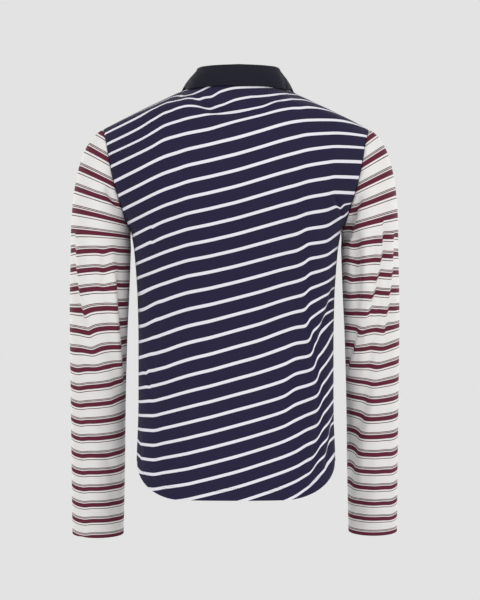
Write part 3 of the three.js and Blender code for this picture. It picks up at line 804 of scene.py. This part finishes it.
def makePanel(name, side, folds):
    columns = body["columns"][side]
    outwards = 1 if side == "front" else -1
    points, across = panelPoints(side, columns)
    normals = gridNormals(points) * outwards
    x, z = points[..., 0], points[..., 2]
    rows = len(points)
    inside = smooth((1 - np.abs(across)) / 0.10)[None, :]
    belowTop = smooth((rows - 1 - np.arange(rows)) / 8)[:, None]
    width = arcLength(points, 1)
    push = foldPush(folds, x, z) * inside * belowTop - seamDip(np.minimum(width, width[:, -1:] - width))
    moved = points + normals * push[..., None]
    along = arcLength(points, 0)
    drag = stripeDrag(folds, x, z)
    if side == "front":
        upper = ramp(z, stripeRun["liftZ"], stripeRun["liftWithin"])
        drag = drag + stripeRun["lift"] * np.maximum(0, x - stripeRun["liftX"]) * upper
    count = overTheShoulder(stripeCount(x, z, drag), along, across, x)
    middle = width - width[:, [columns // 2]]
    cut = np.stack([middle + bodyCloth["skew"] * along, -count * bodyCloth["repeat"]], axis=-1)
    piece = clothObject(
        name, moved, cut, lambda centre, normal: -normal.y * outwards, slit=side == "front")
    addHem(piece, lambda place: place.z < float(hemHeight(np.array(place.x))) + body["hemHeight"])
    dress(piece, cloths["body"], side)
    return {"piece": piece, "points": moved, "normals": normals, "up": along}


backPanel = makePanel("backPanel", "back", backFolds)
frontPanel = makePanel("frontPanel", "front", frontFolds)
sewHem("hemStitches", [backPanel, frontPanel], threads["navy"])
print("back and front made")


# placket and buttons

placket = {
    "halfWidth": 0.016, "topZ": -0.078, "endZ": -0.228, "gap": 0.00032, "cloth": 0.0016,
    "lift": 0.0018, "under": 0.0015, "columns": 16, "rows": 96, "edge": 0.0006,
    "buttonZ": (-0.094, -0.148, -0.202),
    "holeLength": 0.014, "holeWidth": 0.0024, "holeStitch": 0.0006,
}
button = {
    "profile": [(0, 0), (0.0048, 0), (0.0055, 0.0006), (0.0056, 0.0011), (0.0054, 0.0018),
                (0.0048, 0.0022), (0.0042, 0.0021), (0.0036, 0.0016), (0.0026, 0.0015), (0, 0.0015)],
    "holeReach": 0.0015, "holeRadius": 0.0008, "edge": 0.00015,
    "thread": 0.0007, "threadGap": 0.00012, "threadZ": 0.00165, "threadSpan": 2.9,
}


def placketOff(z):  # how far the upper placket's face stands off the front
    share = (z - placket["endZ"]) / (placket["topZ"] - placket["endZ"])
    return placket["gap"] + placket["cloth"] + placket["lift"] * share ** 6


def onPlacket(z):  # a place on the middle of the upper placket, and the way out of it
    place, normal = frontPlace(np.zeros(1), np.full(1, z))
    return place[0] + normal[0] * placketOff(z), normal[0]


def makePlacket(name, offAt, node):
    x = np.linspace(-placket["halfWidth"], placket["halfWidth"], placket["columns"] + 1)
    z = np.linspace(placket["endZ"], placket["topZ"], placket["rows"] + 1)
    z, x = np.meshgrid(z, x, indexing="ij")
    place, normals = frontPlace(x, z)
    points = place + normals * offAt(z)[..., None]
    count = stripeCount(x, z, stripeDrag(frontFolds, x, z))
    cut = np.stack([x + bodyCloth["skew"] * z, -count * bodyCloth["repeat"]], axis=-1)
    piece = clothObject(name, points, cut, lambda centre, normal: -normal.y)
    addWall(piece, placket["cloth"])
    addRoundEdge(piece, placket["edge"], 3)
    dress(piece, cloths["body"], node)
    return {"piece": piece, "points": points, "normals": normals}


def sewPlacket(panel):
    sheet = bmesh.new()
    points, normals = panel["points"], panel["normals"]
    for column in (1, -2):
        sewAlong(sheet, points[2:-3, column], normals[2:-3, column])
    for row in (2, 8):
        sewAlong(sheet, points[row, 1:-1], normals[row, 1:-1])
    for middle in placket["buttonZ"]:  # satin stitches round each buttonhole
        for z in np.arange(-0.5, 0.5, 0.04) * placket["holeLength"] + middle:
            centre, normal = onPlacket(z)
            stitchAt(sheet, centre, np.array([1.0, 0, 0]), normal, placket["holeWidth"],
                     placket["holeStitch"])
    threadPiece("placketStitches", sheet, threads["navy"])


def buttonMesh():  # a dished disc with a rim and four holes
    disc = bmesh.new()
    line = [disc.verts.new((radius, 0, height)) for radius, height in button["profile"]]
    edges = [disc.edges.new(pair) for pair in zip(line, line[1:])]
    bmesh.ops.spin(disc, geom=line + edges, cent=(0, 0, 0), axis=(0, 0, 1), angle=2 * math.pi,
                   steps=48, use_merge=True)
    bmesh.ops.remove_doubles(disc, verts=disc.verts, dist=1e-6)
    bmesh.ops.recalc_face_normals(disc, faces=disc.faces)
    piece = finishObject("buttonDisc", disc)
    drill = bmesh.new()
    corner = button["holeReach"] * math.sqrt(0.5)
    for x in (-corner, corner):
        for y in (-corner, corner):
            bmesh.ops.create_cone(drill, cap_ends=True, segments=20, radius1=button["holeRadius"],
                                  radius2=button["holeRadius"], depth=0.006,
                                  matrix=Matrix.Translation((x, y, 0)))
    cutter = finishObject("drill", drill)
    holes = piece.modifiers.new("holes", "BOOLEAN")
    holes.object = cutter
    holes.solver = "EXACT"
    drilled = bpy.data.meshes.new_from_object(piece.evaluated_get(bpy.context.evaluated_depsgraph_get()))
    bpy.data.objects.remove(cutter)
    bpy.data.objects.remove(piece)
    return drilled


def makeButtons():
    disc = buttonMesh()
    sewn = bmesh.new()
    corner = button["holeReach"] * math.sqrt(0.5)
    for number, z in enumerate(placket["buttonZ"], 1):
        face, normal = onPlacket(z)
        turned = Vector((0, 0, 1)).rotation_difference(Vector(normal)).to_matrix().to_4x4()
        turned.translation = Vector(face + normal * placket["gap"])
        mesh = disc.copy()
        mesh.transform(turned)
        mesh.materials.clear()
        mesh.polygons.foreach_set("use_smooth", [True] * len(mesh.polygons))
        piece = addObject("button" + str(number), mesh)
        addRoundEdge(piece, button["edge"], angle=50)
        dress(piece, resin, "button_" + str(number))
        way = np.array(turned.to_3x3() @ Vector((1, 0, 0)))
        span = button["threadSpan"] * corner
        for side in (-corner, corner):
            for gap in (button["threadGap"], -button["threadGap"]):
                centre = turned @ Vector((0, side + gap, button["threadZ"]))
                stitchAt(sewn, np.array(centre), way, normal, span, button["thread"])
    threadPiece("buttonThreads", sewn, threads["dark"])


upperPlacket = makePlacket("placketUpper", placketOff, "placket_upper")
underPlacket = makePlacket(
    "placketUnder", lambda z: np.full(np.shape(z), -placket["cloth"] - placket["under"]),
    "placket_under")
sewPlacket(upperPlacket)
makeButtons()
print("placket and buttons made")


# sleeves

sleeve = {
    "cuffZ": -0.739, "capTopZ": -0.262, "fullness": 0.0012,
    # which way the cap leaves the seam at the armpit and at the top, and how strongly
    "capOut": (0.35, 1), "capDown": (1, 0.45), "capSide": 0.25, "capPull": 0.75,
    "around": 128, "capRings": 56, "armRings": 190, "cuffRise": {1: 0.0, -1: 0.004},
    "cuffY": -0.078, "cuffSlope": 0.21,  # the cuff is cut square to the sloping arm
    "middleX": 0.225, "bandMiddle": 0.2315, "seamReach": 0.012,
}
arm = curves(
    "z centreX halfWidth centreY halfDepth tilt",
    (-0.739, 0.2315, 0.042, -0.078, 0.029, 12), (-0.626, 0.2295, 0.0435, -0.054, 0.036, 12),
    (-0.517, 0.228, 0.0445, -0.031, 0.042, 11), (-0.401, 0.226, 0.0465, -0.011, 0.049, 6),
    (-0.330, 0.224, 0.048, -0.006, 0.054, 2), (-0.262, 0.222, 0.0485, -0.004, 0.057, 0))

# where each sleeve's bands lie at the middle of its back, and how far they drop towards the body
bands = {
    1: curves(
        "z count lean",
        (-0.780, 23.5, 0), (-0.7365, 22, 0), (-0.6810, 20, 0), (-0.6247, 18, -0.02),
        (-0.5668, 16, -0.03), (-0.5100, 14, -0.07), (-0.4508, 12, -0.12), (-0.3894, 10, -0.11),
        (-0.3260, 8, -0.07), (-0.2662, 6, 0), (-0.2078, 4, 0.24), (-0.1755, 3, 0.38),
        (-0.1426, 2, 0.48), (-0.1043, 1, 0.58), (-0.0650, 0, 0.65), (-0.0200, -1.2, 0.7)),
    -1: curves(
        "z count lean",
        (-0.780, 23.7, 0), (-0.7322, 22, 0), (-0.6788, 20, 0), (-0.6238, 18, -0.01),
        (-0.5647, 16, 0), (-0.5043, 14, 0.02), (-0.4468, 12, 0.05), (-0.3900, 10, 0.08),
        (-0.3345, 8, 0.11), (-0.2782, 6, 0.18), (-0.2169, 4, 0.29), (-0.1826, 3, 0.40),
        (-0.1485, 2, 0.50), (-0.1106, 1, 0.64), (-0.0705, 0, 0.78), (-0.0240, -1.2, 0.7)),
}

# folds on the back of each sleeve: x is the distance out from the shirt's middle, and on either
# sleeve the side of a line nearer the body counts as above zero
leftSleeveFolds = [
    crease(6, -2, [(264.5, -226), (263.5, -258), (262.5, -291), (258, -328), (252.5, -364), (244, -396),
        (239, -420)], lip=2.6, fade=(0.12, 0.25), shift=-6.2, reach=12, turn=0.9, dragFade=(0.12, 0.42)),
    crease(10, -2.2, [(256, -330), (252, -364), (243.5, -400), (234.5, -433), (228, -462), (223, -493)],
        sag=5.2, sagWidth=12, fade=(0.35, 0.45)),
    crease(7.5, 4, [(199, -278), (197, -318), (194.5, -362), (191.5, -407), (188.5, -457), (185, -510)],
        lip=-8.5, fade=(0.25, 0.3), shift=6.5, reach=16, turn=1.4),
    crease(6, -2.2, [(216.5, -250), (215, -300), (214.5, -345)], sag=1.8, sagWidth=7),
    crease(6, 2, [(201.5, -245), (200, -300), (199, -345)], sag=-2.2, sagWidth=7),
    crease(6, 1.4, [(245, -245), (242.5, -330)]),
    crease(5, -1.6, [(232, -230), (230, -300), (226, -380)]),
    crease(6, -3.6, [(214, -160), (203, -184), (192, -200)], lip=-2, shift=-4, reach=12, turn=1.6),
    crease(6, -2, [(264, -420), (262.5, -530), (260.5, -640), (259, -745)],
        sag=3.6, sagWidth=13, fade=(0.15, 0)),
    crease(8, -2.6, [(223, -590), (205, -628), (193, -660)], sag=2.2, sagWidth=10),
    crease(10, 1.4, [(236, -500), (232, -600), (230, -700)]),
    crease(10, 0.8, [(208, -435), (206, -490), (204, -545)], lean=0.3, dragFade=(0.3, 0.3)),
    crease(7, -1.6, [(206, -600), (204, -680), (204, -735)]),
]
rightSleeveFolds = [
    crease(6, -2.6, [(240.5, -205), (240.2, -244), (238.4, -276), (232, -309), (224.7, -338),
        (216.5, -368), (209, -392)], lip=3.4, fade=(0.15, 0.2), shift=-7.8, reach=12, turn=0.9,
        dragFade=(0.2, 0.25)),
    crease(6, -2, [(216, -372), (205.7, -400.5), (195, -432)], sag=2.6, sagWidth=6, fade=(0.4, 0.4)),
    crease(6, -3, [(200, -380), (197.8, -396), (192.6, -423), (185.6, -449.6), (180, -478)],
        lip=-3.6, fade=(0.2, 0.2), shift=7.4, reach=14, turn=0.9, dragFade=(0.5, 0.1)),
    crease(5, 0, [(203, -372), (197.8, -396), (192.6, -423), (185.6, -449.6)],
        lean=0.5, dragFade=(0.3, 0.15)),
    crease(7, -2.2, [(260.5, -228), (259.2, -268), (257.4, -302), (253.7, -332), (249.7, -363),
        (245.1, -394), (242.2, -425)], lip=2.6, fade=(0.1, 0.3), shift=-5.8, reach=12, turn=1,
        dragFade=(0.1, 0.3)),
    crease(10, -1.6, [(250, -363), (245.1, -394), (242.2, -425), (234.6, -454.5), (222.9, -486),
        (216.5, -513)], sag=3, sagWidth=12, fade=(0.3, 0.3)),
    # from here down the cloth on the inner side turns away from the back
    crease(13, -2.4, [(238, -445), (222.9, -486), (216.5, -513), (211, -543), (203.9, -570),
        (201.1, -598), (196.4, -626), (195, -655), (191, -690)], lip=-4.2, fade=(0.3, 0.25), lean=0.95,
        dragFade=(0.72, 0.22)),
    # beside the armpit, then the hollow along the inner side
    crease(5, -4, [(206, -176), (200.5, -190), (191.5, -212), (186, -229)],
        lip=-2, fade=(0.2, 0.2), shift=-3.2, reach=10, turn=1.2),
    crease(8, -10.5, [(190, -194), (183, -222), (179, -256)]),
    crease(5, 0, [(185.5, -188), (186.2, -222), (189.3, -256.5), (194.7, -286), (189.3, -314),
        (184, -340), (185, -365)], lean=0.85, fade=(0.15, 0.3)),
    crease(5.8, -7.5, [(194.5, -222), (196, -250), (196.8, -290), (197.5, -320), (196.5, -350),
        (193.5, -385)], fade=(0.2, 0.3)),
    crease(4, 2.4, [(186.6, -225), (186.6, -280), (186, -330)]),
    crease(6.5, 3, [(211, -225), (211, -300), (208, -345)]),
    crease(5.2, -3.4, [(224.5, -230), (224, -290), (217, -330)], lip=1.2),
    crease(6.2, -4.4, [(235, -310), (234, -350), (232.4, -381), (224.2, -407), (219.3, -431.5),
        (215.7, -461), (208, -486)], lip=1, fade=(0.25, 0.3)),
    crease(6, 2.4, [(218, -385), (209, -420), (201, -455)]),
    crease(7, -1.6, [(264, -540), (262, -640), (261, -730)], sag=2.8, sagWidth=10, fade=(0.3, 0.1)),
    crease(10, 1.4, [(232, -560), (230, -620), (232, -710)]),
    crease(7, -1.2, [(208, -660), (206, -700), (206, -735)]),
]
# folds on the front of the sleeves, gathered at the bend of the elbow
frontSleeveFolds = [
    crease(8, -2.6, [(262, -215), (258, -290), (238, -360), (214, -410)],
        lip=-1.6, shift=6, reach=14, turn=1.6),
    crease(8, -3.8, [(192, -395), (216, -418), (244, -424), (262, -412)], lip=1.6),
    crease(8, -3.4, [(196, -440), (222, -452), (250, -448)], lip=1.4),
    crease(7, -2.6, [(200, -372), (222, -382), (252, -372)], lip=1.2),
    crease(9, -2.6, [(206, -480), (230, -492), (258, -500)]),
    crease(9, -2.2, [(256, -500), (240, -560), (214, -620)], shift=4, reach=14, turn=3),
    crease(7, -2.6, [(215, -180), (204, -205), (190, -222)]),
    crease(6, -1.4, [(228, -240), (226, -330)]),
    crease(10, 1.2, [(236, -600), (234, -700)]),
]


def sleeveRing(z, turned, side):  # turned is 0 at the armpit and goes up the back
    tilt = np.radians(arm["tilt"](z))
    full = side * sleeve["fullness"]
    out = arm["centreX"](z) + full - (arm["halfWidth"](z) + full) * np.cos(turned)
    back = arm["halfDepth"](z) * np.sin(turned)
    return point(side * out, arm["centreY"](z) + back * np.cos(tilt), z - back * np.sin(tilt))


def armholeSeam(turned, side):  # the seam that sleeve and body share
    rise = np.where(turned <= np.pi, turned / np.pi, 2 - turned / np.pi)
    edge = np.full_like(rise, float(side))
    back, front = (upperPoint(panel, edge, rise) for panel in ("back", "front"))
    return np.where((turned <= np.pi)[..., None], back, front)


def sleevePoints(side):
    turned = np.linspace(0, 2 * np.pi, sleeve["around"] + 1)
    seam = armholeSeam(turned, side)
    full = sleeveRing(np.full_like(turned, sleeve["capTopZ"]), turned, side)
    high = (1 - np.cos(turned)) / 2
    length = np.linalg.norm(full - seam, axis=-1)[:, None]
    leaving = unit(point(side * mix(*sleeve["capOut"], high), sleeve["capSide"] * np.sin(turned),
                         -mix(*sleeve["capDown"], high)))
    share = np.linspace(0, 1, sleeve["capRings"], endpoint=False)[:, None, None]
    cap = bend(seam, full, leaving * sleeve["capPull"] * length, np.array([0, 0, -1]) * length, share)
    cuffZ = sleeve["cuffZ"] + sleeve["cuffRise"][side]
    rings = np.linspace(sleeve["capTopZ"], cuffZ, sleeve["armRings"] + 1)
    z, around = np.meshgrid(rings, turned, indexing="ij")
    return np.concatenate([cap, sleeveRing(z, around, side)]), turned


def bandCount(points, turned, side, drag):
    z = points[..., 2]
    tilt = np.sin(np.radians(arm["tilt"](z)))
    level = z + arm["halfDepth"](z) * np.sin(turned)[None] * tilt - drag
    middle = level
    for _ in range(6):
        lean = bands[side]["lean"](middle)
        middle = level + lean * (sleeve["bandMiddle"] - np.abs(points[..., 0]))
    return bands[side]["count"](middle)


def makeSleeve(name, side, node):
    points, turned = sleevePoints(side)
    normals = gridNormals(points, closed=True) * side
    x, z = side * points[..., 0], points[..., 2]
    behind, before = (np.clip(way * np.sin(turned), 0, 1)[None] ** 0.5 for way in (1, -1))
    folds = leftSleeveFolds if side > 0 else rightSleeveFolds
    push, drag = (work(folds, x, z) * behind + work(frontSleeveFolds, x, z) * before
                  for work in (foldPush, stripeDrag))
    down = arcLength(points, 0)
    push = push * smooth(down / sleeve["seamReach"]) - seamDip(down)
    moved = points + normals * push[..., None]
    count = bandCount(points, turned, side, drag)
    cut = np.stack([arcLength(points, 1), -count * sleeveCloth["repeat"]], axis=-1)
    centreX = side * sleeve["middleX"]
    piece = clothObject(
        name, moved, cut, lambda centre, normal: normal.x * (centre.x - centreX), closed=True)
    low = sleeve["cuffZ"] + sleeve["cuffRise"][side] + body["hemHeight"]
    addHem(piece, lambda place: place.z + sleeve["cuffSlope"] * (place.y - sleeve["cuffY"]) < low)
    dress(piece, cloths["sleeve"], node)
    up = (down[-1:] - down)[::-1]
    return {"piece": piece, "points": moved[::-1], "normals": normals[::-1], "up": up}


leftSleeve = makeSleeve("leftSleeve", 1, "left_sleeve")
rightSleeve = makeSleeve("rightSleeve", -1, "right_sleeve")
sewHem("cuffStitches", [leftSleeve, rightSleeve], threads["cream"])
print("sleeves made")


# collar

collar = {
    "stations": 240, "section": 54, "foldRadius": 0.004, "clearance": 0.0014, "endX": 0.004,
    "lean": 0.004, "leanAcross": 0.014, "rib": 0.002, "edge": 0.0007,
    "footIn": 0.0016, "footRise": 0.0006, "swellOut": 0.006, "swellUp": 0.004,
}
collarAt = curves(
    "angle foldX foldY foldZ edgeAcross edgeRise",
    (0, 0, 0.053, 0.037, 0, 0.975), (30, 0.033, 0.045, 0.0365, 0.125, 0.974),
    (60, 0.059, 0.025, 0.036, 0.285, 0.964), (75, 0.065, 0.010, 0.035, 0.37, 0.972),
    (90, 0.0665, -0.007, 0.033, 0.432, 1), (120, 0.058, -0.035, 0.012, 0.43, 0.94),
    (150, 0.036, -0.061, -0.018, 0.34, 0.81), (180, 0.005, -0.076, -0.048, 0.20, 0.69))


def collarHalf(angle, side):  # sections from the foot of the stand to the edge of the fall
    up = np.array([0.0, 0.0, 1.0])
    seam = neckline(angle)
    inFrom = unit(seam * [1, 1, 0] - [0, body["neckPointY"], 0])
    foot = seam - inFrom * collar["footIn"] + up * collar["footRise"]
    foot[:, 0] = np.maximum(foot[:, 0], collar["endX"] * smooth(angle / 180))
    fold = point(*(collarAt[column](angle) for column in ("foldX", "foldY", "foldZ")))
    fold[:, 0] -= side * collar["lean"] * np.clip((180 - angle) / 30, 0, 1)
    leaning = side * np.sin(np.radians(angle)) * collar["leanAcross"]
    on = collarAt["edgeAcross"](angle) - leaning, collarAt["edgeRise"](angle)
    isBack = (angle <= 90)[:, None]
    lying, normal = (np.where(isBack, behind, before)
                     for behind, before in zip(bodyPlace("back", *on), bodyPlace("front", *on)))
    edge = lying + normal * (collar["rib"] + collar["clearance"])
    out = unit((edge - foot) * [1, 1, 0])
    arc = [fold + collar["foldRadius"] * (up * (np.sin(turned) - 1) - out * np.cos(turned))
           for turned in np.radians([0, 45, 90, 135, 180])]
    swell = out * collar["swellOut"] + up * collar["swellUp"]
    fall = [mix(arc[-1], edge, share) + swell * share * (1 - share) for share in (0.35, 0.7)]
    section = np.stack([foot, mix(foot, arc[0], 0.5), *arc, *fall, edge], axis=1)
    section[..., 0] *= side
    return section


def alongSection(section, count):  # an even curve through each section's points
    rows = []
    for corners in section:
        line = smoothPath(corners, 12)
        length = arcLength(line, 0)
        rows.append(alongLine(np.linspace(0, length[-1], count + 1), length, line))
    return np.array(rows)


def makeCollar():
    angle = np.linspace(0, 180, collar["stations"] // 2 + 1)
    left, right = (alongSection(collarHalf(angle, side), collar["section"]) for side in (1, -1))
    points = np.concatenate([right[:0:-1], left])
    cut = np.stack([arcLength(points, 0), arcLength(points, 1)], axis=-1)
    piece = clothObject("collarRib", points, cut, lambda centre, normal: normal.z)
    addWall(piece, collar["rib"])
    addRoundEdge(piece, collar["edge"], 3)
    dress(piece, cloths["rib"], "collar")
    return piece


collarPiece = makeCollar()
print("collar made")


# floor, light and camera

studio = {
    "grey": (0.767, 0.767, 0.767), "fill": (0.34, 0.34, 0.34),
    "floorZ": -1.25, "floorRadius": 3.0, "floorFrom": 1.8, "floorFade": 1.1,
    "floorTone": (0.82, 0.82, 0.82, 1),
    "lampSize": 2.4, "aim": (0, 0, -0.35),
    "lamps": {"backLeft": [(2.3, 1.9, 0.9), 54], "backRight": [(-2.3, 1.9, 0.9), 59],
              "frontLeft": [(2.1, -2.2, 0.5), 42], "frontRight": [(-2.1, -2.2, 0.5), 42]},
    "cameraPlace": (-0.0066, 3.5, -0.3465), "lens": 127.3,
}


def makeWorld():
    world = bpy.data.worlds.new("studio")
    bpy.context.scene.world = world
    world.use_nodes = True
    world.node_tree.nodes.clear()
    start = Wire(world.node_tree)
    seen = start.node("LightPath", output="Is Camera Ray")
    backdrop = blend(start, seen, studio["fill"], studio["grey"])
    light = start.node("Background", {"Color": backdrop, "Strength": 1.0})
    start.node("OutputWorld", {"Surface": light})


def makeFloor():  # fades out into the backdrop
    sheet = bmesh.new()
    bmesh.ops.create_circle(sheet, cap_ends=True, segments=96, radius=studio["floorRadius"])
    bmesh.ops.translate(sheet, verts=sheet.verts, vec=(0, 0, studio["floorZ"]))
    floor = finishObject("studioFloor", sheet)
    material, start = newFinish("paleFloor")
    far = start.node("VectorMath", {0: objectPlace(start)}, output="Value", operation="LENGTH")
    edge = ((far - studio["floorFrom"]) / studio["floorFade"]).held()
    diffuse = start.node("BsdfDiffuse", {"Color": studio["floorTone"]})
    both = start.node("MixShader", {0: edge, 1: diffuse, 2: start.node("BsdfTransparent")})
    start.node("OutputMaterial", {"Surface": both})
    floor.data.materials.append(material)


def makeLamps():
    for name, (place, power) in studio["lamps"].items():
        data = bpy.data.lights.new(name, "AREA")
        data.shape = "DISK"
        data.size = studio["lampSize"]
        data.energy = power
        lamp = addObject(name, data)
        lamp.location = place
        aim = Vector(studio["aim"]) - lamp.location
        lamp.rotation_euler = aim.to_track_quat("-Z", "Y").to_euler()


def makeCamera():
    data = bpy.data.cameras.new("camera")
    data.lens = studio["lens"]
    data.clip_end = 60
    camera = addObject("camera", data)
    camera.location = studio["cameraPlace"]
    camera.rotation_euler = (math.radians(90), 0, math.radians(180))
    bpy.context.scene.camera = camera


makeWorld()
makeFloor()
makeLamps()
makeCamera()
print("studio ready")

# the cut of each piece before it was sewn: width, length and flat area
cuts = [
    (backPanel["piece"], (0.54, 0.75), 0.310, "draped", ()),
    (frontPanel["piece"], (0.55, 0.74), 0.292, "draped", ()),
    (leftSleeve["piece"], (0.36, 0.72), 0.185, "draped", ()),
    (rightSleeve["piece"], (0.36, 0.72), 0.185, "draped", ()),
    (collarPiece, (0.59, 0.10), 0.045, "folded", ("backPanel", "frontPanel")),
    (upperPlacket["piece"], (0.032, 0.155), 0.0049, "laid", ("frontPanel",)),
    (underPlacket["piece"], (0.032, 0.155), 0.0049, "laid", ("frontPanel",)),
]
for piece, flat, area, held, under in cuts:
    list(under)
